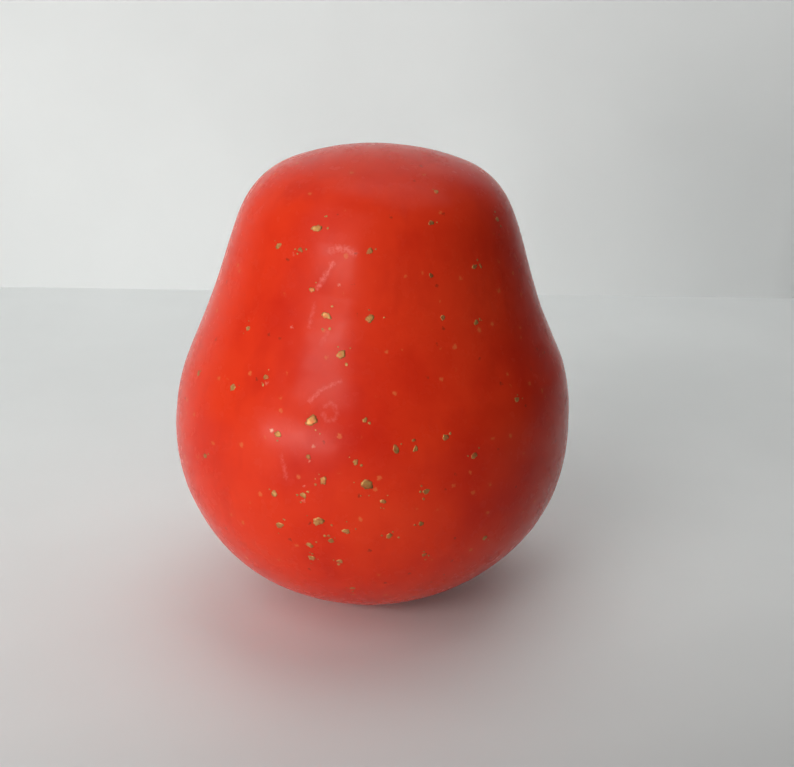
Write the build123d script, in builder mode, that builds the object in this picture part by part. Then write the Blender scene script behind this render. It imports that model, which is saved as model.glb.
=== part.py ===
from build123d import *
import math
import os
import random

# Lacquered, weighted papier-mache roly-poly. Millimetres, +Z up.
# The origin is the middle of the flat foot, on the surface it stands on.
# The front is -Y. The two body halves meet on the plane Y = 0.

# ---- outside shape: tangent arcs from the foot up to the crown ----
foot_radius = 10.5
bottom_radius = 53.5
belly_radius = 48.3
waist_radius = 145.0
flank_radius = 267.0
shoulder_radius = 20.5

# Where each arc ends: angle of the outward surface direction above the horizontal.
bottom_end = -53.0
belly_end = 25.7
waist_end = 17.8
flank_end = 21.4
shoulder_end = 68.5

# ---- layers, counted inwards from the outer face of the lacquer ----
lacquer_thickness = 0.3
ground_thickness = 0.5
strip_thickness = 0.2
wall_thickness = 2.2
lap_thickness = 1.2

ground_top = lacquer_thickness
strip_top = lacquer_thickness + ground_thickness - strip_thickness
wall_top = lacquer_thickness + ground_thickness
wall_inside = wall_top + wall_thickness
lap_outside = wall_inside - lap_thickness

# ---- heights above the foot ----
joint_height = 18.0
lap_height = 5.0
strip_width = 10.0
crown_strip_start = 100.0
clay_height = 22.0
cover_thickness = 0.6
cover_collar = 5.0

lap_end = joint_height + lap_height
base_strip_low = joint_height - strip_width / 2
base_strip_high = joint_height + strip_width / 2

# ---- gold leaf ----
leaf_thickness = 0.08
leaf_size_film = 0.02
leaf_seed = 41
corner_counts = (6, 7, 8, 9)
corner_wander = 0.28
shortest_reach = 0.72
longest_reach = 1.08

# Strewn leaves: how many, where they may lie (degrees round from the front, and height), and their sizes.
scattered_leaves = 40
scatter_from = 82.0
scatter_low = 8.0
scatter_high = 117.0
scatter_shortest = 1.2
scatter_longest = 2.2
scatter_slimmest = 0.6
scatter_widest = 0.85

# Leaves on the front, placed by hand: way round from the front (degrees, + to the right),
# height, length, width, and turn on the surface (degrees).
placed_leaves = (
    (-24, 104, 3.2, 1.5, 10),
    (-39, 99, 2.0, 1.2, 35),
    (-29, 99, 1.5, 1.1, -20),
    (-3, 100, 1.9, 1.4, 30),
    (21, 106, 1.5, 1.2, 0),
    (28, 112, 1.6, 1.1, 40),
    (57, 105, 1.6, 1.3, -15),
    (37, 96, 1.7, 1.0, 20),
    (19, 95, 1.4, 1.0, -35),
    (-22, 91, 1.5, 1.2, 15),
    (-16, 86, 2.8, 1.6, -25),
    (-2, 86, 2.2, 1.9, 0),
    (34, 84, 1.6, 1.1, 50),
    (22, 86, 1.4, 1.1, 50),
    (-44, 80, 1.7, 1.0, 10),
    (-10, 78, 3.0, 1.9, 35),
    (-32, 71, 1.7, 1.3, -10),
    (-43, 67, 2.2, 1.5, 25),
    (-62, 66, 1.8, 1.2, -30),
    (43, 66, 1.6, 1.2, 15),
    (-2, 65, 1.6, 1.2, 60),
    (-16, 64, 3.8, 1.8, 40),
    (-25, 60, 2.0, 1.4, 0),
    (19, 61, 2.0, 1.2, -15),
    (6, 59, 2.6, 1.6, -75),
    (11, 59, 1.8, 1.1, 75),
    (27, 56, 1.9, 1.4, 35),
    (-16, 56, 1.5, 1.1, -40),
    (-4, 56, 1.6, 1.2, 50),
    (-12, 51, 2.4, 1.5, 70),
    (-1, 51, 3.7, 2.5, -15),
    (-50, 49, 1.8, 1.2, 10),
    (14, 49, 2.0, 1.3, 30),
    (-25, 46, 2.1, 1.4, 80),
    (-17, 47, 1.8, 1.4, -20),
    (3, 47, 1.8, 1.0, -5),
    (-13, 41, 3.3, 2.2, 15),
    (13, 41, 1.7, 1.1, -35),
    (-24, 38, 2.4, 1.6, 25),
    (-6, 39, 2.3, 1.3, -10),
    (5, 38, 1.8, 1.2, 45),
    (-16, 34, 2.2, 1.5, -25),
    (-10, 36, 1.7, 1.2, 0),
    (33, 34, 1.7, 1.3, 20),
    (15, 32, 1.6, 1.1, 55),
    (-16, 30, 2.2, 1.4, 15),
    (-8, 30, 1.8, 1.3, -30),
    (-5, 20, 1.6, 1.1, 10),
)


def outward(angle):
    """Unit direction in the profile plane at the given angle above the horizontal."""
    return Vector(math.cos(math.radians(angle)), math.sin(math.radians(angle)))


def make_arcs():
    """Arcs from foot to crown: centre, radius (negative when hollow), start and end angle."""
    foot_angle = math.degrees(math.asin(foot_radius / bottom_radius)) - 90
    centre = Vector(0, math.sqrt(bottom_radius**2 - foot_radius**2))
    listed = [
        (bottom_radius, bottom_end),
        (belly_radius, belly_end),
        (-waist_radius, waist_end),
        (flank_radius, flank_end),
        (shoulder_radius, shoulder_end),
    ]
    found = []
    previous = bottom_radius
    start = foot_angle
    for radius, end in listed:
        centre = centre + outward(start) * (previous - radius)
        found.append((centre, radius, start, end))
        previous = radius
        start = end
    # The crown arc is centred on the axis, so it reaches the axis level.
    crown_radius = (centre.X + previous * math.cos(math.radians(start))) / math.cos(math.radians(start))
    centre = centre + outward(start) * (previous - crown_radius)
    found.append((Vector(0, centre.Y), crown_radius, start, 90.0))
    return found


arcs = make_arcs()
foot_angle = arcs[0][2]
crown_height = arcs[-1][0].Y + arcs[-1][1]


def arc_point(index, inset, angle):
    """Point of one arc of the surface that lies the given depth below the lacquer face."""
    centre, radius, start, end = arcs[index]
    return centre + outward(angle) * (radius - inset)


def draw_surface(inset, first_angle):
    """Draw the profile of the surface at one depth, from the first angle up to the crown."""
    for index, (centre, radius, start, end) in enumerate(arcs):
        begin = first_angle if index == 0 else start
        side = 0 if radius > 0 else 180
        CenterArc((centre.X, centre.Y), abs(radius - inset), begin + side, end - begin)


def draw_layer(outer, inner, first_angle):
    """Draw the closed outline of the layer between two depths."""
    draw_surface(outer, first_angle)
    draw_surface(inner, first_angle)
    Line(arc_point(0, outer, first_angle), arc_point(0, inner, first_angle))
    Line((0, crown_height - outer), (0, crown_height - inner))


def draw_filled(inset):
    """Draw the closed outline of everything inside one depth."""
    draw_surface(inset, -90)
    Line(arc_point(0, inset, -90), (0, crown_height - inset))


def keep_between(low, high):
    """Keep only the part of the sketch between two heights."""
    with Locations((0, (low + high) / 2)):
        Rectangle(4 * belly_radius, high - low, mode=Mode.INTERSECT)


def keep_box(x_low, x_high, z_low, z_high):
    """Keep only the strip-wide part of the solid inside these limits."""
    with Locations(((x_low + x_high) / 2, 0, (z_low + z_high) / 2)):
        Box(x_high - x_low, strip_width, z_high - z_low, mode=Mode.INTERSECT)


def surface_spot(height):
    """Distance from the axis and surface angle of the lacquer face at one height."""
    for centre, radius, start, end in arcs:
        low = centre.Y + radius * math.sin(math.radians(start))
        high = centre.Y + radius * math.sin(math.radians(end))
        if low <= height <= high:
            angle = math.degrees(math.asin((height - centre.Y) / radius))
            return centre.X + radius * math.cos(math.radians(angle)), angle
    raise ValueError("height is outside the lacquered surface")


def leaf_plane(way_round, height):
    """Plane on the thin film of size over the lacquer, looking straight out of the surface."""
    distance, angle = surface_spot(height)
    turn = math.radians(way_round)
    rise = math.radians(angle)
    out = Vector(math.cos(rise) * math.sin(turn), -math.cos(rise) * math.cos(turn), math.sin(rise))
    spot = Vector(distance * math.sin(turn), -distance * math.cos(turn), height)
    return Plane(spot + out * leaf_size_film, x_dir=(math.cos(turn), math.sin(turn), 0), z_dir=out)


def leaf_corners(length, width, turn, dice):
    """Ragged outline of one leaf: an ellipse with uneven corners."""
    count = dice.choice(corner_counts)
    corners = []
    for step in range(count):
        around = 2 * math.pi * (step + dice.uniform(-corner_wander, corner_wander)) / count
        reach = dice.uniform(shortest_reach, longest_reach)
        x = reach * length / 2 * math.cos(around)
        y = reach * width / 2 * math.sin(around)
        spin = math.radians(turn)
        corners.append((x * math.cos(spin) - y * math.sin(spin), x * math.sin(spin) + y * math.cos(spin)))
    return corners


def scatter_leaves(dice):
    """Small leaves strewn over the sides and the back, kept clear of each other."""
    leaves = list(placed_leaves)
    while len(leaves) < len(placed_leaves) + scattered_leaves:
        way_round = dice.choice((-1, 1)) * dice.uniform(scatter_from, 180)
        height = dice.uniform(scatter_low, scatter_high)
        length = dice.uniform(scatter_shortest, scatter_longest)
        distance, angle = surface_spot(height)
        clear = True
        for other in leaves:
            far, other_angle = surface_spot(other[1])
            around = math.radians((way_round - other[0] + 180) % 360 - 180) * (distance + far) / 2
            if math.hypot(around, height - other[1], far - distance) < length + other[2]:
                clear = False
        if clear:
            width = length * dice.uniform(scatter_slimmest, scatter_widest)
            leaves.append((way_round, height, length, width, dice.uniform(-90, 90)))
    return leaves


# ---- lacquer coat: the red outside skin, open around the bare foot ----
with BuildPart() as lacquer_coat:
    with BuildSketch(Plane.XZ):
        with BuildLine():
            draw_layer(0, ground_top, foot_angle)
        make_face()
    revolve(axis=Axis.Z)
lacquer_coat.part.label = "lacquer_coat"

# ---- ground coat: chalk and glue, thinner where it runs over the paper strips ----
with BuildPart() as ground_coat:
    with BuildSketch(Plane.XZ):
        with BuildLine():
            draw_layer(strip_top, wall_top, foot_angle)
        make_face()
        with Locations((0, joint_height)):
            Rectangle(4 * belly_radius, strip_width, mode=Mode.SUBTRACT)
    revolve(axis=Axis.Z)
    with Locations((0, 0, base_strip_high + crown_height / 2)):
        Box(4 * belly_radius, strip_width, crown_height, mode=Mode.SUBTRACT)
    with BuildSketch(Plane.XZ):
        with BuildLine():
            draw_layer(ground_top, strip_top, foot_angle)
        make_face()
    revolve(axis=Axis.Z)
ground_coat.part.label = "ground_coat"

# ---- front shell: papier-mache half with a rebate that laps over the base cup ----
with BuildPart() as front_shell:
    with BuildSketch(Plane.XZ):
        with BuildLine():
            draw_layer(wall_top, lap_outside, foot_angle)
        make_face()
        keep_between(joint_height, lap_end)
    with BuildSketch(Plane.XZ):
        with BuildLine():
            draw_layer(wall_top, wall_inside, foot_angle)
        make_face()
        keep_between(lap_end, crown_height)
    revolve(axis=Axis.Z, revolution_arc=-180)
front_shell.part.label = "front_shell"

# ---- back shell: the other papier-mache half ----
with BuildPart() as back_shell:
    with BuildSketch(Plane.XZ):
        with BuildLine():
            draw_layer(wall_top, lap_outside, foot_angle)
        make_face()
        keep_between(joint_height, lap_end)
    with BuildSketch(Plane.XZ):
        with BuildLine():
            draw_layer(wall_top, wall_inside, foot_angle)
        make_face()
        keep_between(lap_end, crown_height)
    revolve(axis=Axis.Z, revolution_arc=180)
back_shell.part.label = "back_shell"

# ---- base cup: bowl with the flat foot and the thin lap that stands in the shells ----
with BuildPart() as base_cup:
    with BuildSketch(Plane.XZ):
        with BuildLine():
            draw_layer(wall_top, wall_inside, -90)
        make_face()
        keep_between(0, joint_height)
    with BuildSketch(Plane.XZ):
        with BuildLine():
            Polyline((0, 0), (foot_radius, 0), arc_point(0, wall_top, foot_angle))
            Polyline(arc_point(0, wall_top, foot_angle), (0, arc_point(0, wall_top, foot_angle).Y), (0, 0))
        make_face()
    with BuildSketch(Plane.XZ):
        with BuildLine():
            draw_layer(lap_outside, wall_inside, foot_angle)
        make_face()
        keep_between(joint_height, lap_end)
    revolve(axis=Axis.Z)
base_cup.part.label = "base_cup"

# ---- side seam strips: washi up each side over the joint between the halves ----
with BuildPart() as seam_strip_right:
    with BuildSketch(Plane.XZ):
        with BuildLine():
            draw_layer(strip_top, wall_top, foot_angle)
        make_face()
    revolve(axis=Axis.Z)
    keep_box(0, 2 * belly_radius, base_strip_high, crown_strip_start)
seam_strip_right.part.label = "seam_strip_right"

with BuildPart() as seam_strip_left:
    with BuildSketch(Plane.XZ):
        with BuildLine():
            draw_layer(strip_top, wall_top, foot_angle)
        make_face()
    revolve(axis=Axis.Z)
    keep_box(-2 * belly_radius, 0, base_strip_high, crown_strip_start)
seam_strip_left.part.label = "seam_strip_left"

# ---- crown seam strip: washi over the top, from one side strip to the other ----
with BuildPart() as seam_strip_crown:
    with BuildSketch(Plane.XZ):
        with BuildLine():
            draw_layer(strip_top, wall_top, foot_angle)
        make_face()
    revolve(axis=Axis.Z)
    keep_box(-2 * belly_radius, 2 * belly_radius, crown_strip_start, 2 * crown_height)
seam_strip_crown.part.label = "seam_strip_crown"

# ---- base seam strip: washi ring over the joint between shells and base cup ----
with BuildPart() as base_seam_strip:
    with BuildSketch(Plane.XZ):
        with BuildLine():
            draw_layer(strip_top, wall_top, foot_angle)
        make_face()
        keep_between(base_strip_low, base_strip_high)
    revolve(axis=Axis.Z)
base_seam_strip.part.label = "base_seam_strip"

# ---- clay weight: fills the bottom of the cup ----
with BuildPart() as clay_weight:
    with BuildSketch(Plane.XZ):
        with BuildLine():
            draw_filled(wall_inside)
        make_face()
        keep_between(0, clay_height)
        with Locations((2 * belly_radius, 0)):
            Rectangle(4 * belly_radius, 4 * belly_radius, mode=Mode.INTERSECT)
    revolve(axis=Axis.Z)
clay_weight.part.label = "clay_weight"

# ---- weight cover: paper disc over the clay, its edge turned up against the wall ----
with BuildPart() as weight_cover:
    with BuildSketch(Plane.XZ):
        with BuildLine():
            draw_filled(wall_inside)
        make_face()
        keep_between(clay_height, clay_height + cover_thickness)
    with BuildSketch(Plane.XZ):
        with BuildLine():
            draw_layer(wall_inside, wall_inside + cover_thickness, foot_angle)
        make_face()
        keep_between(clay_height + cover_thickness, clay_height + cover_collar)
    revolve(axis=Axis.Z)
weight_cover.part.label = "weight_cover"

# ---- gold leaf flakes: thin ragged leaves lying on the lacquer ----
leaf_dice = random.Random(leaf_seed)
with BuildPart() as gold_leaf_flakes:
    for way_round, height, length, width, turn in scatter_leaves(leaf_dice):
        with BuildSketch(leaf_plane(way_round, height)):
            Polygon(*leaf_corners(length, width, turn, leaf_dice), align=None)
    extrude(amount=leaf_thickness)
gold_leaf_flakes.part.label = "gold_leaf_flakes"

# ---- save every piece ----
os.makedirs("parts", exist_ok=True)
export_step(lacquer_coat.part, "parts/lacquer_coat.step")
export_step(ground_coat.part, "parts/ground_coat.step")
export_step(front_shell.part, "parts/front_shell.step")
export_step(back_shell.part, "parts/back_shell.step")
export_step(base_cup.part, "parts/base_cup.step")
export_step(seam_strip_right.part, "parts/seam_strip_right.step")
export_step(seam_strip_left.part, "parts/seam_strip_left.step")
export_step(seam_strip_crown.part, "parts/seam_strip_crown.step")
export_step(base_seam_strip.part, "parts/base_seam_strip.step")
export_step(clay_weight.part, "parts/clay_weight.step")
export_step(weight_cover.part, "parts/weight_cover.step")
export_step(gold_leaf_flakes.part, "parts/gold_leaf_flakes.step")
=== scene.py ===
"""Looks for the lacquered roly-poly: red lacquer skin, gold leaf, and the hidden paper, clay and ground."""

import math
import random

import bpy
import numpy as np
from mathutils import Matrix, Vector


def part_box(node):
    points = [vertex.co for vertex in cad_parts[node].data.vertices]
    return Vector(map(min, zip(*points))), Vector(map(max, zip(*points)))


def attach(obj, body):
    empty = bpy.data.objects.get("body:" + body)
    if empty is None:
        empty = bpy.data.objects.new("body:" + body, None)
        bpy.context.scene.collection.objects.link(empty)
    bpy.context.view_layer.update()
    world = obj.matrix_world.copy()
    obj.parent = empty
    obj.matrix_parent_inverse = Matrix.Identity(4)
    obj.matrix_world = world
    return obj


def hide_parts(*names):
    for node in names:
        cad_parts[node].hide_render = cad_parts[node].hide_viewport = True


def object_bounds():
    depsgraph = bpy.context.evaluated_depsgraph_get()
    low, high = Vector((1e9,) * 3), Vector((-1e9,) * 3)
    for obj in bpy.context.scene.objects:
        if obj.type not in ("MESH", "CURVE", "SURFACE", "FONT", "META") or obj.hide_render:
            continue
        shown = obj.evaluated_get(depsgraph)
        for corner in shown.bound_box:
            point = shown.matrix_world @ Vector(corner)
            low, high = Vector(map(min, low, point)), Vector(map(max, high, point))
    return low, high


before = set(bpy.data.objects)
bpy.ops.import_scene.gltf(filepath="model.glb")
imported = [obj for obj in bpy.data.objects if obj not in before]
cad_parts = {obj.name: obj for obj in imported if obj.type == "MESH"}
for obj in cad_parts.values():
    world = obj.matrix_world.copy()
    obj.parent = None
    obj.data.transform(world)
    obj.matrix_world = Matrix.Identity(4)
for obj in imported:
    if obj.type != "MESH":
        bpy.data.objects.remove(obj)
cad_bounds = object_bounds()
MM = 0.001

# ---------------------------------------------------------------- profile


def outer_profile():
    """Distance from the axis and height of the lacquer's outside, from foot to crown, in metres."""
    spacing = 0.8 * MM
    pole_gap = 0.6 * MM
    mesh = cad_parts["lacquer_coat"].data
    low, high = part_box("lacquer_coat")
    middle = Vector((0, 0, (low.z + high.z) / 2))
    votes = np.zeros(len(mesh.vertices))
    for face in mesh.polygons:
        away = face.center - middle
        outside = face.normal.dot(away) > 0.5 * away.length
        votes[list(face.vertices)] += face.area if outside else -face.area
    points = sorted((v.co.z, math.hypot(v.co.x, v.co.y)) for v in mesh.vertices if votes[v.index] > 0)
    kept = [points[0]]
    for z, r in points[1:]:
        if math.hypot(z - kept[-1][0], r - kept[-1][1]) > spacing:
            kept.append((z, r))
    kept = [p for p in kept if p[1] > pole_gap]
    kept.append((high.z, 0.0))
    return np.array([(r, z) for z, r in kept])


def spline(knots, values, at):
    """Natural cubic through the values at the knots, read at the given places."""
    n = len(knots)
    h = np.diff(knots)
    system = np.zeros((n, n))
    right = np.zeros(n)
    system[0, 0] = system[-1, -1] = 1
    for i in range(1, n - 1):
        system[i, i - 1] = h[i - 1]
        system[i, i] = 2 * (h[i - 1] + h[i])
        system[i, i + 1] = h[i]
        right[i] = 6 * ((values[i + 1] - values[i]) / h[i] - (values[i] - values[i - 1]) / h[i - 1])
    bend = np.linalg.solve(system, right)
    i = np.clip(np.searchsorted(knots, at) - 1, 0, n - 2)
    a = (knots[i + 1] - at) / h[i]
    b = 1 - a
    straight = a * values[i] + b * values[i + 1]
    curved = ((a**3 - a) * bend[i] + (b**3 - b) * bend[i + 1]) * h[i] ** 2 / 6
    return straight + curved


PROFILE = outer_profile()
KNOTS = np.concatenate([[0], np.cumsum(np.hypot(*np.diff(PROFILE, axis=0).T))])
LENGTH = KNOTS[-1]


def profile_at(s):
    """Radius, height and outward direction of the lacquer at path lengths from the foot."""
    s = np.asarray(s, float)
    # The knots before the crown are mirrored over the axis, so the top is level.
    over = PROFILE[-6:-1][::-1] * (-1, 1)
    more = 2 * LENGTH - KNOTS[-6:-1][::-1]
    knots = np.concatenate([KNOTS, more])
    points = np.vstack([PROFILE, over])
    r = spline(knots, points[:, 0], s)
    z = spline(knots, points[:, 1], s)
    step = 0.05 * MM
    dr = spline(knots, points[:, 0], s + step) - spline(knots, points[:, 0], s - step)
    dz = spline(knots, points[:, 1], s + step) - spline(knots, points[:, 1], s - step)
    size = np.hypot(dr, dz)
    return r, z, dz / size, -dr / size


TABLE_S = np.linspace(0, LENGTH, 1500)
TABLE_R, TABLE_Z, TABLE_NR, TABLE_NZ = profile_at(TABLE_S)


def path_at_height(z):
    return float(np.interp(z, TABLE_Z, TABLE_S))


# ---------------------------------------------------------------- hand-made unevenness


def value_noise(x, y, z, seed):
    """Smooth noise between -1 and 1 at arrays of points."""
    side = 32
    rng = np.random.default_rng(seed)
    grid = rng.uniform(-1, 1, (side, side, side))
    out = 0
    cell = [np.floor(c).astype(int) for c in (x, y, z)]
    part = [c - np.floor(c) for c in (x, y, z)]
    fade = [f * f * f * (f * (6 * f - 15) + 10) for f in part]
    for i in (0, 1):
        for j in (0, 1):
            for k in (0, 1):
                weight = (
                    (fade[0] if i else 1 - fade[0])
                    * (fade[1] if j else 1 - fade[1])
                    * (fade[2] if k else 1 - fade[2])
                )
                value = grid[(cell[0] + i) % side, (cell[1] + j) % side, (cell[2] + k) % side]
                out = out + weight * value
    return out


# Small dents: way round from the front (degrees), height, width and depth in mm.
DENTS = [(12, 79, 3.0, 0.10), (-26, 72, 3.4, 0.10), (38, 73, 4.0, 0.10), (-52, 83, 3.5, 0.08)]
SCATTERED_DENTS = 34
dent_dice = random.Random(5)
for _ in range(SCATTERED_DENTS):
    dent_way = dent_dice.uniform(-180, 180)
    dent_height = dent_dice.uniform(14, 114)
    dent_width = dent_dice.uniform(2.2, 5.0)
    DENTS.append((dent_way, dent_height, dent_width, dent_dice.uniform(0.03, 0.09)))


# Hand-made unevenness: heights in mm, and how far the skin leans to the right or swells there in mm.
SWAY = ([0, 12, 26, 50, 66, 80, 120], [-0.9, -0.9, -0.1, 0, 0.5, 0, -0.4])
SWELL = ([0, 12, 33, 52, 74, 90, 101, 113, 120], [0.1, 0.6, 0.9, 0.3, 0.7, 0.5, 0.7, 0.2, 0])
# Two sizes of smooth wave: length and rise in mm.
BROAD_WAVE, BROAD_RISE = 30, 0.16
FINE_WAVE, FINE_RISE = 11, 0.05
# The soft corner on the right shoulder: way round in degrees, the rest in mm. It fades out towards the axis.
CORNER_WAY, CORNER_SPREAD = 112, 26
CORNER_HEIGHT, CORNER_REACH = 112.5, 4.0
CORNER_RISE = 0.55
CORNER_FADE = 12
# The skin may sink this far, in mm, which leaves a tenth of a millimetre over the ground coat.
DEEPEST = 0.19
# Over this length from the foot, in mm, the unevenness fades in.
FOOT_FADE = 6


def skin_points(s, turn):
    """Points of the real, slightly uneven lacquer surface, with the smooth outward direction."""
    s, turn = np.broadcast_arrays(np.asarray(s, float), np.asarray(turn, float))
    r = np.interp(s, TABLE_S, TABLE_R)
    z = np.interp(s, TABLE_S, TABLE_Z)
    nr = np.interp(s, TABLE_S, TABLE_NR)
    nz = np.interp(s, TABLE_S, TABLE_NZ)
    sin, cos = np.sin(turn), np.cos(turn)
    base = np.stack([r * sin, -r * cos, z], -1)
    out = np.stack([nr * sin, -nr * cos, nz], -1)
    height = z / MM
    x, y = base[..., 0] / MM, base[..., 1] / MM
    # The middle line wanders sideways, and the wall swells and slackens, by up to a millimetre.
    sway = np.interp(height, *SWAY)
    swell = np.interp(height, *SWELL)
    broad = value_noise(x / BROAD_WAVE + 7, y / BROAD_WAVE + 3, height / BROAD_WAVE, 11)
    fine = value_noise(x / FINE_WAVE, y / FINE_WAVE, height / FINE_WAVE, 12)
    offset = sway * sin * nr + swell + BROAD_RISE * broad + FINE_RISE * fine
    corner_way = np.mod(np.degrees(turn) - CORNER_WAY + 180, 360) - 180
    off_way = corner_way**2 / (2 * CORNER_SPREAD**2)
    off_height = (height - CORNER_HEIGHT) ** 2 / (2 * CORNER_REACH**2)
    off_axis = np.clip(r / (CORNER_FADE * MM), 0, 1)
    offset = offset + CORNER_RISE * np.exp(-off_way - off_height) * off_axis
    for way, dent_height, width, depth in DENTS:
        a = math.radians(way)
        at = path_at_height(dent_height * MM)
        around = (np.mod(turn - a + np.pi, 2 * np.pi) - np.pi) * np.maximum(r, MM) / MM
        along = (s - at) / MM
        gap = (around**2 + along**2) / (width / 2) ** 2
        offset = offset - depth * np.exp(-gap)
    offset = np.where(offset < 0, -DEEPEST * np.tanh(-offset / DEEPEST), offset)
    # The foot rim stays where it is, and the crown closes.
    edge = np.clip((s / MM) / FOOT_FADE, 0, 1)
    offset = offset * edge * edge * (3 - 2 * edge)
    return base + out * (offset * MM)[..., None], out


# ---------------------------------------------------------------- mesh helpers


def new_object(name, vertices, faces, smooth=True):
    mesh = bpy.data.meshes.new(name)
    mesh.from_pydata(np.asarray(vertices, float).tolist(), [], faces)
    mesh.update()
    if smooth:
        mesh.polygons.foreach_set("use_smooth", [True] * len(mesh.polygons))
    obj = bpy.data.objects.new(name, mesh)
    bpy.context.scene.collection.objects.link(obj)
    return obj


def ring_faces(first, second, around):
    """Quads between two rings of vertices. Each ring is given by its first vertex."""
    pairs = [(j, (j + 1) % around) for j in range(around)]
    return [(first + j, first + k, second + k, second + j) for j, k in pairs]


def fan_faces(ring, middle, around):
    """Triangles between a ring of vertices and one in its middle."""
    return [(ring + j, ring + (j + 1) % around, middle) for j in range(around)]


def flipped(faces):
    return [face[::-1] for face in faces]


def build_skin():
    """Closed shell: uneven outside, plain inside, joined by a narrow rim at the foot."""
    around = 600
    rows = 380
    inner_rows = 90
    thickness = 0.3 * MM
    turns = np.linspace(-math.pi, math.pi, around, endpoint=False)
    # The last row stops just short of the pole, which has one vertex.
    s = LENGTH * (np.arange(rows) / rows)
    points, _ = skin_points(s[:, None], turns[None, :])
    vertices = [points.reshape(-1, 3)]
    pole, _ = skin_points(np.array([LENGTH]), np.array([0.0]))
    pole = np.array([[0, 0, pole[0, 2]]])
    vertices.append(pole)
    top = rows * around
    inner_s = LENGTH * (np.arange(inner_rows) / inner_rows)
    inner_r, inner_z, inner_nr, inner_nz = (
        np.interp(inner_s, TABLE_S, column)[:, None] for column in (TABLE_R, TABLE_Z, TABLE_NR, TABLE_NZ)
    )
    inner_r = inner_r - inner_nr * thickness
    inner_z = inner_z - inner_nz * thickness + 0 * turns[None, :]
    inner = np.stack([inner_r * np.sin(turns), -inner_r * np.cos(turns), inner_z], -1)
    start = top + 1
    vertices.append(inner.reshape(-1, 3))
    inner_top = start + inner_rows * around
    vertices.append(np.array([[0, 0, TABLE_Z[-1] - thickness]]))
    vertices = np.vstack(vertices)
    faces = []
    for row in range(rows - 1):
        faces.extend(ring_faces(row * around, (row + 1) * around, around))
    faces.extend(fan_faces((rows - 1) * around, top, around))
    for row in range(inner_rows - 1):
        ring = start + row * around
        faces.extend(flipped(ring_faces(ring, ring + around, around)))
    faces.extend(flipped(fan_faces(inner_top - around, inner_top, around)))
    faces.extend(flipped(ring_faces(0, start, around)))
    return new_object("lacquer_skin", vertices, faces)


def leaf_islands():
    """Centre, and outline in the surface, of every gold leaf in the CAD node."""
    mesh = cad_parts["gold_leaf_flakes"].data
    parent = list(range(len(mesh.vertices)))

    def root(i):
        while parent[i] != i:
            parent[i] = parent[parent[i]]
            i = parent[i]
        return i

    where = {}
    for v in mesh.vertices:
        key = tuple(round(c * 1e6) for c in v.co)
        if key in where:
            parent[root(v.index)] = root(where[key])
        else:
            where[key] = v.index
    for edge in mesh.edges:
        parent[root(edge.vertices[0])] = root(edge.vertices[1])
    groups = {}
    for v in mesh.vertices:
        groups.setdefault(root(v.index), []).append(np.array(v.co))
    found = []
    for members in groups.values():
        points = np.array(members)
        middle = (points.min(0) + points.max(0)) / 2
        turn = math.atan2(middle[0], -middle[1])
        at = path_at_height(middle[2])
        r = float(np.interp(at, TABLE_S, TABLE_R))
        nr = float(np.interp(at, TABLE_S, TABLE_NR))
        nz = float(np.interp(at, TABLE_S, TABLE_NZ))
        side = np.array([math.cos(turn), math.sin(turn), 0])
        rise = np.array([-nz * math.sin(turn), nz * math.cos(turn), nr])
        flat = np.stack([(points - middle) @ side, (points - middle) @ rise], -1)
        order = np.argsort(np.arctan2(flat[:, 1], flat[:, 0]))
        found.append((turn, at, r, flat[order]))
    found.sort(key=lambda f: (round(f[1], 6), round(f[0], 6)))
    return found


def add_leaf(vertices, faces, turn, at, outline, dice, lift, thick):
    """One thin closed leaf that follows the skin. Outline points are in the surface, in metres."""
    count = len(outline)
    r0 = max(float(np.interp(at, TABLE_S, TABLE_R)), 3 * MM)
    fractions = (1.0, 0.62, 0.25)
    # Shares of the thickness: at the edge, in the middle, and the range of the crinkles between.
    at_edge, in_middle, crinkles = 0.35, 0.7, (0.2, 1.0)
    layers = []
    for layer in (0, 1):
        rings = []
        for fraction in fractions:
            u = outline[:, 0] * fraction
            v = outline[:, 1] * fraction
            s = np.clip(at + v, 0.2 * MM, LENGTH - 0.2 * MM)
            points, out = skin_points(s, turn + u / r0)
            if layer:
                crinkle = np.array([dice.uniform(*crinkles) for _ in range(count)])[:, None]
                points = points + out * (lift + thick * (crinkle if fraction < 1 else at_edge))
            else:
                points = points - out * lift
            rings.append(len(vertices))
            vertices.extend(points)
        points, out = skin_points(np.array([np.clip(at, 0, LENGTH)]), np.array([turn]))
        middle = len(vertices)
        vertices.append(points[0] + out[0] * (lift + thick * in_middle if layer else -lift))
        layers.append((rings, middle))
    for layer, (rings, middle) in enumerate(layers):
        sheet = []
        for outer, inner in zip(rings, rings[1:]):
            sheet.extend(ring_faces(outer, inner, count))
        sheet.extend(fan_faces(rings[-1], middle, count))
        faces.extend(sheet if layer else flipped(sheet))
    faces.extend(ring_faces(layers[0][0][0], layers[1][0][0], count))


def ragged(points, dice, pieces, rough):
    """Refine an outline between its corners and tear its edge."""
    corners = np.asarray(points, float)
    angle = np.arctan2(corners[:, 1], corners[:, 0])
    reach = np.hypot(corners[:, 0], corners[:, 1])
    order = np.argsort(angle)
    angle, reach = angle[order], reach[order]
    grid = np.linspace(-math.pi, math.pi, pieces, endpoint=False)
    size = np.interp(grid, angle, reach, period=2 * math.pi)
    phases = [dice.uniform(0, 6.28) for _ in range(3)]
    wave = sum(np.sin(grid * f + p) * a for f, p, a in zip((3, 5, 9), phases, (0.5, 0.35, 0.25)))
    jitter = np.array([dice.uniform(-1, 1) for _ in range(pieces)])
    size = size * (1 + rough * (0.6 * wave + 0.5 * jitter))
    size = np.maximum(size, 0.25 * size.mean())
    return np.stack([size * np.cos(grid), size * np.sin(grid)], -1)


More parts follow.
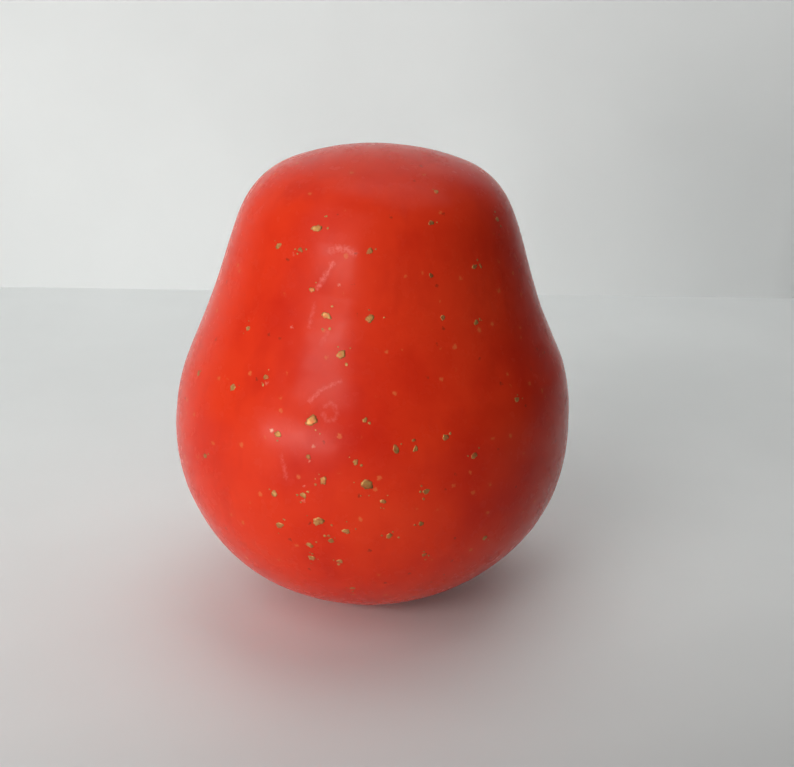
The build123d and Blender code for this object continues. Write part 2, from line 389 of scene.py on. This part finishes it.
def build_gold():
    dice = random.Random(23)
    vertices, faces = [], []
    thick = 0.03 * MM
    lift = 0.015 * MM
    leaf_corners, leaf_rough = 26, 0.26
    crumb_corners, crumb_rough = 12, 0.22
    wide_leaf = 1.6 * MM
    pole_gap = 2 * MM
    for turn, at, r, flat in leaf_islands():
        span = np.hypot(*(flat.max(0) - flat.min(0)))
        outline = ragged(flat * 0.96, dice, leaf_corners, leaf_rough)
        add_leaf(vertices, faces, turn, at, outline, dice, lift, thick)
        # Crumbs that broke off the leaf.
        crumbs = dice.choice((1, 2, 3)) if span > wide_leaf else dice.choice((0, 1))
        for _ in range(crumbs):
            way = dice.uniform(0, 2 * math.pi)
            gap = span * dice.uniform(0.62, 1.1)
            size = dice.uniform(0.16, 0.42) * MM
            corners = [
                (size * dice.uniform(0.6, 1.1) * math.cos(a), size * dice.uniform(0.5, 1.0) * math.sin(a))
                for a in np.linspace(0, 2 * math.pi, 6, endpoint=False)
            ]
            spot_s = at + gap * math.sin(way)
            if not pole_gap < spot_s < LENGTH - pole_gap:
                continue
            spot_turn = turn + gap * math.cos(way) / max(r, 3 * MM)
            outline = ragged(corners, dice, crumb_corners, crumb_rough)
            add_leaf(vertices, faces, spot_turn, spot_s, outline, dice, lift, thick)
    return new_object("gold_leaf", vertices, faces)


skin = build_skin()
gold = build_gold()

# ---------------------------------------------------------------- materials


def material(name):
    mat = bpy.data.materials.new(name)
    mat.use_nodes = True
    tree = mat.node_tree
    return mat, tree, tree.nodes["Principled BSDF"]


def add(tree, kind, **settings):
    node = tree.nodes.new(kind)
    for key, value in settings.items():
        setattr(node, key, value)
    return node


def feed(tree, value, socket):
    """Give an input its value: another node's output, or a plain number, vector or colour."""
    if isinstance(value, bpy.types.NodeSocket):
        tree.links.new(value, socket)
    else:
        socket.default_value = value


def coordinates(tree, scale):
    """Object coordinates times a scale."""
    source = add(tree, "ShaderNodeTexCoord")
    mapping = add(tree, "ShaderNodeMapping")
    mapping.inputs["Scale"].default_value = scale
    tree.links.new(source.outputs["Object"], mapping.inputs["Vector"])
    return mapping.outputs["Vector"]


def noise(tree, scale, detail=3.0, roughness=0.5, stretch=(1, 1, 1)):
    """Noise between 0 and 1. The scale is the number of its cells in a metre."""
    node = add(tree, "ShaderNodeTexNoise")
    node.inputs["Scale"].default_value = scale
    node.inputs["Detail"].default_value = detail
    node.inputs["Roughness"].default_value = roughness
    tree.links.new(coordinates(tree, stretch), node.inputs["Vector"])
    return node.outputs["Fac"]


def ramp(tree, source, stops):
    """Colours blended along a value, from stops of place and colour."""
    node = add(tree, "ShaderNodeValToRGB")
    elements = node.color_ramp.elements
    while len(elements) < len(stops):
        elements.new(0.5)
    for element, (place, colour) in zip(elements, stops):
        element.position = place
        element.color = (*colour, 1)
    tree.links.new(source, node.inputs["Fac"])
    return node.outputs["Color"]


def spread(tree, source, low, high, from_low=0.0, from_high=1.0):
    """A value carried over from one range to another, and held at the ends."""
    node = add(tree, "ShaderNodeMapRange")
    node.inputs["From Min"].default_value = from_low
    node.inputs["From Max"].default_value = from_high
    node.inputs["To Min"].default_value = low
    node.inputs["To Max"].default_value = high
    tree.links.new(source, node.inputs["Value"])
    return node.outputs["Result"]


def bump(tree, source, strength, distance, normal=None):
    """Direction of a surface that a value raises and lowers. The distance is in metres."""
    node = add(tree, "ShaderNodeBump")
    node.inputs["Strength"].default_value = strength
    node.inputs["Distance"].default_value = distance
    tree.links.new(source, node.inputs["Height"])
    if normal is not None:
        tree.links.new(normal, node.inputs["Normal"])
    return node.outputs["Normal"]


def on_skin(way, height):
    """Point of the skin at a way round from the front (degrees) and a height (mm)."""
    point, _ = skin_points(np.array([path_at_height(height * MM)]), np.array([math.radians(way)]))
    return Vector(point[0])


def calculate(tree, operation, first, second, clamp=False):
    node = add(tree, "ShaderNodeMath", operation=operation, use_clamp=clamp)
    for socket, value in zip(node.inputs, (first, second)):
        feed(tree, value, socket)
    return node.outputs["Value"]


def vectors(tree, operation, first, second, output="Vector"):
    node = add(tree, "ShaderNodeVectorMath", operation=operation)
    for socket, value in zip(node.inputs, (first, second)):
        feed(tree, value, socket)
    return node.outputs[output]


def wandering(tree):
    """Object coordinates that wander by a few tenths of a millimetre, so that spots and lines are ragged."""
    swing = 0.7 * MM
    waver = add(tree, "ShaderNodeTexNoise")
    waver.inputs["Scale"].default_value = 1300.0
    waver.inputs["Detail"].default_value = 2.0
    plain = coordinates(tree, (1, 1, 1))
    tree.links.new(plain, waver.inputs["Vector"])
    shift = add(tree, "ShaderNodeVectorMath", operation="MULTIPLY_ADD")
    tree.links.new(waver.outputs["Color"], shift.inputs[0])
    shift.inputs[1].default_value = (2 * swing,) * 3
    shift.inputs[2].default_value = (-swing,) * 3
    return vectors(tree, "ADD", plain, shift.outputs["Vector"])


def near_point(tree, position, point, radius):
    """One at a point, falling to nothing at a radius from it."""
    gap = vectors(tree, "DISTANCE", position, point, "Value")
    return spread(tree, gap, 1.0, 0.0, 0.35 * radius, radius)


def near_line(tree, position, start, end, radius):
    """One along a straight line, falling to nothing at a radius from it."""
    run = end - start
    from_start = vectors(tree, "SUBTRACT", position, start)
    along = vectors(tree, "DOT_PRODUCT", from_start, run / run.length_squared, "Value")
    along = calculate(tree, "MULTIPLY", along, 1.0, clamp=True)
    reach_node = add(tree, "ShaderNodeVectorMath", operation="SCALE")
    reach_node.inputs[0].default_value = run
    tree.links.new(along, reach_node.inputs["Scale"])
    nearest = vectors(tree, "ADD", reach_node.outputs["Vector"], start)
    gap = vectors(tree, "DISTANCE", position, nearest, "Value")
    return spread(tree, gap, 1.0, 0.0, 0.0, radius)


def mix(tree, amount, under, over, blend="MIX"):
    """Two colours put together, the second over the first by an amount."""
    node = add(tree, "ShaderNodeMix", data_type="RGBA", blend_type=blend)
    colours = [i for i in node.inputs if i.type == "RGBA"]
    feed(tree, amount, node.inputs[0])
    feed(tree, under, colours[0])
    feed(tree, over, colours[1])
    return next(o for o in node.outputs if o.type == "RGBA")


def strongest(tree, amounts):
    """The largest of several amounts at each place."""
    largest = amounts[0]
    for amount in amounts[1:]:
        largest = calculate(tree, "MAXIMUM", largest, amount)
    return largest


def specks(tree, position, scale, radius, share):
    """Small round spots, in some of the cells of a cell texture. The radius is in metres."""
    cells = add(tree, "ShaderNodeTexVoronoi")
    cells.inputs["Scale"].default_value = scale
    tree.links.new(position, cells.inputs["Vector"])
    spot = spread(tree, cells.outputs["Distance"], 1.0, 0.0, 0.5 * radius * scale, radius * scale)
    split = add(tree, "ShaderNodeSeparateColor")
    tree.links.new(cells.outputs["Color"], split.inputs["Color"])
    chosen = calculate(tree, "LESS_THAN", split.outputs["Red"], share)
    return calculate(tree, "MULTIPLY", spot, chosen)


# Scuffed lines in the lacquer, with the highlight they catch painted in light pink: corners as way round
# (degrees) and height (mm), half width (mm), and strength.
SCUFF_HIGHLIGHT_LINES = [
    ([(-17.4, 99.6), (-14.6, 100.3), (-11.2, 100.2), (-8.3, 99.4)], 1.1, 0.55),
    ([(-15.8, 97.0), (-17.6, 94.8), (-20.1, 91.7)], 0.85, 0.62),
    ([(-20.6, 88.0), (-21.1, 83.2)], 0.7, 0.3),
    ([(-15.0, 82.6), (-16.4, 79.8)], 0.7, 0.26),
    ([(-9.3, 72.6), (-12.0, 71.6), (-14.9, 70.2), (-17.5, 67.8)], 0.6, 0.55),
    (
        [
            (-12.9, 67.3), (-11.4, 68.1), (-9.9, 67.4), (-9.4, 65.8),
            (-10.3, 64.6), (-12.1, 64.4), (-13.2, 65.6),
        ],
        0.7,
        0.28,
    ),
    ([(-23.5, 55.4), (-22.4, 53.0), (-22.0, 50.5)], 0.7, 0.3),
]
# Nibs of dust under the lacquer, each with a painted glint in its colour: way round, height, radius (mm),
# and strength.
GLINT_NIBS = [
    (-26.9, 60.5, 0.7, 0.85),
    (-15.0, 58.5, 0.6, 0.32),
    (-15.7, 55.2, 0.42, 0.3),
    (-12.7, 92.6, 0.48, 0.3),
    (-17.0, 45.6, 0.5, 0.2),
    (-17.0, 49.1, 0.4, 0.2),
    (-27.0, 82.6, 0.42, 0.2),
    (-31.4, 69.8, 0.55, 0.16),
    (-31.6, 97.8, 0.5, 0.12),
]


def rubbed_lines_with_highlight(tree, position):
    """How far the polish is scuffed at each place, in broken lines. The same amount paints their highlight
    into the colour.
    """
    lines = []
    for corners, half_width, strength in SCUFF_HIGHLIGHT_LINES:
        points = [on_skin(way, height) for way, height in corners]
        for start, end in zip(points, points[1:]):
            line = near_line(tree, position, start, end, half_width * MM)
            lines.append(calculate(tree, "MULTIPLY", line, strength))
    broken = spread(tree, noise(tree, 1500.0, 3.0, 0.6), 0.25, 1.0, 0.38, 0.60)
    return calculate(tree, "MULTIPLY", strongest(tree, lines), broken)


# Painted glints: one spot at each nib, which the colour paints near white and the bump raises.
def nibs_with_painted_glints(tree, position):
    spots = []
    for way, height, radius, strength in GLINT_NIBS:
        spot = near_point(tree, position, on_skin(way, height), radius * MM)
        spots.append(calculate(tree, "MULTIPLY", spot, strength))
    return strongest(tree, spots)


def lacquer_material():
    streak_red = (0.52, 0.018, 0.006, 1)
    buried_gold = (0.70, 0.19, 0.055, 1)
    pit_brown = (0.22, 0.024, 0.008, 1)
    # Light pink of the painted highlight along the scuffed lines.
    painted_highlight_pink = (0.88, 0.26, 0.22, 1)
    # Near-white colour of the painted glints on the nibs.
    painted_glint_cream = (1.0, 0.58, 0.42, 1)
    mat, tree, shader = material("red_lacquer")
    position = wandering(tree)
    colour = ramp(
        tree,
        noise(tree, 38.0, 4.0, 0.55),
        [(0.30, (0.57, 0.019, 0.005)), (0.52, (0.67, 0.033, 0.008)), (0.74, (0.71, 0.043, 0.011))],
    )
    # Streaks of deeper red where the brush left the lacquer thick.
    streaks = spread(tree, noise(tree, 90.0, 3.0, 0.6, (1, 1, 0.35)), 0.0, 0.45, 0.54, 0.72)
    colour = mix(tree, streaks, colour, streak_red)
    # Leaf that lies deep in the lacquer, and dark pits.
    deep_leaf = calculate(tree, "MULTIPLY", specks(tree, position, 230.0, 0.66 * MM, 0.6), 0.5)
    colour = mix(tree, deep_leaf, colour, buried_gold)
    pits = calculate(tree, "MULTIPLY", specks(tree, position, 180.0, 0.56 * MM, 0.8), 0.6)
    colour = mix(tree, pits, colour, pit_brown)
    # Painted highlight along the scuffed lines, laid into the colour in light pink; the lines are also made
    # rougher below.
    rubbed_and_highlight_mask = rubbed_lines_with_highlight(tree, position)
    colour = mix(tree, calculate(tree, "MULTIPLY", rubbed_and_highlight_mask, 0.8), colour, painted_highlight_pink)
    # Painted glints on the nibs, laid into the colour; the same spots are also raised by a bump.
    nib_glint_mask = nibs_with_painted_glints(tree, position)
    colour = mix(tree, nib_glint_mask, colour, painted_glint_cream)
    tree.links.new(colour, shader.inputs["Base Color"])
    rough = spread(tree, noise(tree, 210.0, 5.0, 0.6), 0.20, 0.30, 0.35, 0.65)
    rough = calculate(tree, "ADD", rough, calculate(tree, "MULTIPLY", rubbed_and_highlight_mask, 0.15))
    tree.links.new(rough, shader.inputs["Roughness"])
    waves = bump(tree, noise(tree, 120.0, 2.0, 0.5), 0.10, 0.4 * MM)
    peel = bump(tree, noise(tree, 420.0, 2.0, 0.5), 0.08, 0.25 * MM, waves)
    raised = bump(tree, nib_glint_mask, 0.8, 0.2 * MM, peel)
    tree.links.new(raised, shader.inputs["Normal"])
    shader.inputs["IOR"].default_value = 1.5
    shader.inputs["Specular IOR Level"].default_value = 0.09
    # A worn polish: a little wide haze around every highlight.
    shader.inputs["Coat Weight"].default_value = 0.09
    shader.inputs["Coat Roughness"].default_value = 0.5
    return mat


def gold_material():
    worn_red = (0.48, 0.10, 0.03, 1)
    mat, tree, shader = material("gold_leaf")
    colour = ramp(
        tree,
        noise(tree, 330.0, 2.0, 0.6),
        [
            (0.32, (0.27, 0.12, 0.030)),
            (0.47, (0.46, 0.24, 0.065)),
            (0.60, (0.64, 0.34, 0.115)),
            (0.75, (0.36, 0.21, 0.06)),
        ],
    )
    # Some of each leaf is worn through to the red.
    worn = spread(tree, noise(tree, 1100.0, 3.0, 0.6), 0.0, 0.80, 0.44, 0.62)
    colour = mix(tree, worn, colour, worn_red)
    tree.links.new(colour, shader.inputs["Base Color"])
    shader.inputs["Metallic"].default_value = 0.6
    rough = spread(tree, noise(tree, 900.0, 2.0, 0.5), 0.42, 0.62)
    tree.links.new(rough, shader.inputs["Roughness"])
    tree.links.new(bump(tree, noise(tree, 1500.0, 3.0, 0.6), 0.3, 0.1 * MM), shader.inputs["Normal"])
    return mat


def paper_material(name, dark, light, fibre, strength):
    mat, tree, shader = material(name)
    pulp = noise(tree, 160.0, 5.0, 0.6)
    strands = noise(tree, fibre, 4.0, 0.7, (1, 1, 7))
    mixed = add(tree, "ShaderNodeMix", data_type="FLOAT")
    mixed.inputs["Factor"].default_value = 0.5
    tree.links.new(pulp, mixed.inputs["A"])
    tree.links.new(strands, mixed.inputs["B"])
    tint = ramp(tree, mixed.outputs["Result"], [(0.36, dark), (0.62, light)])
    tree.links.new(tint, shader.inputs["Base Color"])
    tree.links.new(spread(tree, strands, 0.75, 0.95), shader.inputs["Roughness"])
    tree.links.new(bump(tree, mixed.outputs["Result"], strength, 0.6 * MM), shader.inputs["Normal"])
    return mat


def mineral_material(name, dark, light, scale, strength, rough):
    mat, tree, shader = material(name)
    grain = noise(tree, scale, 6.0, 0.65)
    tree.links.new(ramp(tree, grain, [(0.35, dark), (0.65, light)]), shader.inputs["Base Color"])
    tree.links.new(spread(tree, grain, rough - 0.08, rough + 0.08), shader.inputs["Roughness"])
    tree.links.new(bump(tree, grain, strength, 0.8 * MM), shader.inputs["Normal"])
    return mat


lacquer = lacquer_material()
skin.data.materials.append(lacquer)
gold.data.materials.append(gold_material())

shell_paper = paper_material("papier_mache", (0.46, 0.40, 0.30), (0.68, 0.62, 0.50), 420.0, 0.5)
cup_paper = paper_material("base_papier_mache", (0.36, 0.31, 0.23), (0.55, 0.49, 0.38), 380.0, 0.6)
washi = paper_material("washi", (0.72, 0.67, 0.56), (0.90, 0.87, 0.78), 700.0, 0.35)
cover_paper = paper_material("cover_paper", (0.58, 0.50, 0.38), (0.78, 0.71, 0.58), 520.0, 0.4)
clay = mineral_material("clay", (0.30, 0.20, 0.13), (0.46, 0.34, 0.24), 240.0, 0.7, 0.85)
ground = mineral_material("chalk_ground", (0.80, 0.77, 0.70), (0.90, 0.88, 0.83), 320.0, 0.3, 0.8)

NODE_LOOKS = {
    "lacquer_coat": lacquer,
    "gold_leaf_flakes": gold.data.materials[0],
    "ground_coat": ground,
    "front_shell": shell_paper,
    "back_shell": shell_paper,
    "base_cup": cup_paper,
    "seam_strip_left": washi,
    "seam_strip_right": washi,
    "seam_strip_crown": washi,
    "base_seam_strip": washi,
    "clay_weight": clay,
    "weight_cover": cover_paper,
}
for node_name, look in NODE_LOOKS.items():
    node_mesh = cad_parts[node_name].data
    node_mesh.materials.clear()
    node_mesh.materials.append(look)

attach(skin, "root")
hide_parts("lacquer_coat")
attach(gold, "root")
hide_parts("gold_leaf_flakes")

# ---------------------------------------------------------------- floor, wall and light

low, high = cad_bounds
low, high = Vector(low), Vector(high)
centre = (low + high) / 2
# The staged floor and wall, in metres.
WALL_Y, FRONT_Y = 0.32, -1.4
HALF_WIDTH = 1.6
WALL_HEIGHT = 1.6
# The roly-poly stands a degree out of upright on the floor.
FLOOR_TILT = math.tan(math.radians(1.0))


def staged_sheet(name, corners, paleness, across, fade):
    """Matt card, a little cool, with painted shade: its colour darkens away from the lit middle.

    The fade is the painted shade: it holds places and the share of colour kept there. A place runs from 0 to
    1 while a point's dot product with the direction across runs from -0.3 to 0.7.
    """
    sheet = new_object(name, corners, [(0, 1, 2, 3)], smooth=False)
    mat, tree, shader = material(name)
    cool = (0.97, 1.0, 1.0)
    dim, pale = (tuple((paleness + change) * c for c in cool) for change in (-0.02, 0.02))
    fibre = ramp(tree, noise(tree, 9.0, 3.0, 0.5), [(0.35, dim), (0.65, pale)])
    way = vectors(tree, "DOT_PRODUCT", coordinates(tree, (1, 1, 1)), Vector(across), "Value")
    way = spread(tree, way, 0.0, 1.0, -0.3, 0.7)
    # Painted shade: the card's colour is multiplied down away from the lit middle.
    shade = ramp(tree, way, [(place, (kept,) * 3) for place, kept in fade])
    tree.links.new(mix(tree, 1.0, fibre, shade, "MULTIPLY"), shader.inputs["Base Color"])
    shader.inputs["Roughness"].default_value = 0.5
    sheet.data.materials.append(mat)


def on_stage(x, y, height):
    """A corner of the floor or the wall, which tilt together."""
    return (x, y, low.z + height + x * FLOOR_TILT)


# The floor's painted shade darkens it towards the front and the right.
staged_sheet(
    "floor",
    [
        on_stage(-HALF_WIDTH, FRONT_Y, 0),
        on_stage(HALF_WIDTH, FRONT_Y, 0),
        on_stage(HALF_WIDTH, WALL_Y, 0),
        on_stage(-HALF_WIDTH, WALL_Y, 0),
    ],
    0.90,
    (0.35, -1.1, 0),
    [(0.10, 1.0), (0.30, 0.91), (0.35, 0.85), (0.40, 0.74), (0.45, 0.57), (0.50, 0.50)],
)
# The wall's painted shade darkens it to the left and more to the right.
staged_sheet(
    "wall",
    [
        on_stage(-HALF_WIDTH, WALL_Y, 0),
        on_stage(HALF_WIDTH, WALL_Y, 0),
        on_stage(HALF_WIDTH, WALL_Y, WALL_HEIGHT),
        on_stage(-HALF_WIDTH, WALL_Y, WALL_HEIGHT),
    ],
    0.88,
    (1, 0, 0),
    [(0.0, 0.75), (0.07, 0.91), (0.20, 0.96), (0.35, 1.0), (0.52, 0.97), (0.60, 0.60), (0.80, 0.40)],
)


def surround():
    """Pale even room, far off, that only closes the view behind the table and lights nothing."""
    around, rows, radius = 48, 24, 5.0
    vertices = []
    for i in range(1, rows):
        level = math.pi * i / rows
        for j in range(around):
            turn = 2 * math.pi * j / around
            flat = radius * math.sin(level)
            vertices.append((flat * math.cos(turn), flat * math.sin(turn), radius * math.cos(level)))
    faces = []
    for row in range(rows - 2):
        faces.extend(flipped(ring_faces(row * around, (row + 1) * around, around)))
    faces.append(tuple(range(around)))
    faces.append(tuple((rows - 2) * around + j for j in reversed(range(around))))
    room = new_object("surround", vertices, faces)
    mat, tree, shader = material("surround")
    shader.inputs["Base Color"].default_value = (0, 0, 0, 1)
    shader.inputs["Roughness"].default_value = 1.0
    shader.inputs["Specular IOR Level"].default_value = 0.0
    glow = ramp(tree, noise(tree, 0.4, 1.0, 0.5), [(0.3, (0.60, 0.61, 0.61)), (0.7, (0.64, 0.65, 0.65))])
    tree.links.new(glow, shader.inputs["Emission Color"])
    shader.inputs["Emission Strength"].default_value = 1.0
    room.data.materials.append(mat)
    room.visible_diffuse = False
    room.visible_glossy = False
    room.visible_transmission = False
    room.visible_shadow = False


surround()


def area_light(name, direction_turn, direction_rise, distance, width, height, glow, colour):
    """Soft light panel of even brightness, placed by the direction it comes from, facing the object."""
    a, e = math.radians(direction_turn), math.radians(direction_rise)
    away = Vector((math.cos(e) * math.sin(a), -math.cos(e) * math.cos(a), math.sin(e)))
    data = bpy.data.lights.new(name, "AREA")
    data.shape = "RECTANGLE"
    data.size, data.size_y = width, height
    data.energy = glow * math.pi * width * height
    data.color = colour
    obj = bpy.data.objects.new(name, data)
    obj.location = centre + away * distance
    obj.rotation_euler = (-away).to_track_quat("-Z", "Y").to_euler()
    bpy.context.scene.collection.objects.link(obj)


WINDOW = (1.0, 0.985, 0.96)
ROOM = (1.0, 0.99, 0.98)
CEILING = (1.0, 0.99, 0.97)
# Name, way round and rise of the direction (degrees), distance, width and height (metres), glow, colour.
LIGHTS = [
    ("window_high", -33, 26.5, 1.0, 0.46, 0.10, 15.0, WINDOW),
    ("window_middle", -36, 15.5, 1.0, 0.60, 0.28, 0.1, WINDOW),
    ("window_low", -41, 3.0, 1.0, 0.74, 0.17, 13.4, WINDOW),
    ("left_fill", -85, 34, 1.3, 1.4, 1.1, 0.04, ROOM),
    ("front_fill", -42, 46, 1.3, 1.0, 0.8, 1.4, ROOM),
    ("overhead", -150, 62, 1.1, 1.3, 1.2, 0.54, ROOM),
    ("ceiling", 140, 78, 0.85, 0.8, 0.6, 1.34, CEILING),
]
for light in LIGHTS:
    area_light(*light)

world = bpy.data.worlds.new("studio")
bpy.context.scene.world = world
world.use_nodes = True
background = world.node_tree.nodes["Background"]
background.inputs["Color"].default_value = (0.80, 0.84, 0.90, 1)
background.inputs["Strength"].default_value = 0.03

# ---------------------------------------------------------------- camera

camera_data = bpy.data.cameras.new("camera")
camera = bpy.data.objects.new("camera", camera_data)
bpy.context.scene.collection.objects.link(camera)
bpy.context.scene.camera = camera
camera_data.sensor_width = 36.0
camera_data.lens = 49.9
camera_data.clip_start = 0.01
camera_data.clip_end = 20.0
rise = math.radians(20.0)
roll = math.radians(2.1)
reach = 0.2943
aim_height = 0.052
# The view looks a little past the aim, to the right and up.
look_right, look_up = 6.15 * MM, 4.87 * MM
aim = Vector((0, 0, low.z + aim_height))
forward = Vector((0, math.cos(rise), -math.sin(rise)))
right = Vector((1, 0, 0))
up = right.cross(forward)
camera.location = aim - forward * reach
look_at = aim + right * look_right + up * look_up
look = look_at - camera.location
turned = look.to_track_quat("-Z", "Y").to_matrix() @ Matrix.Rotation(roll, 3, "Z")
camera.rotation_euler = turned.to_euler()

bpy.context.scene.view_settings.view_transform = "Standard"
bpy.context.scene.view_settings.look = "None"
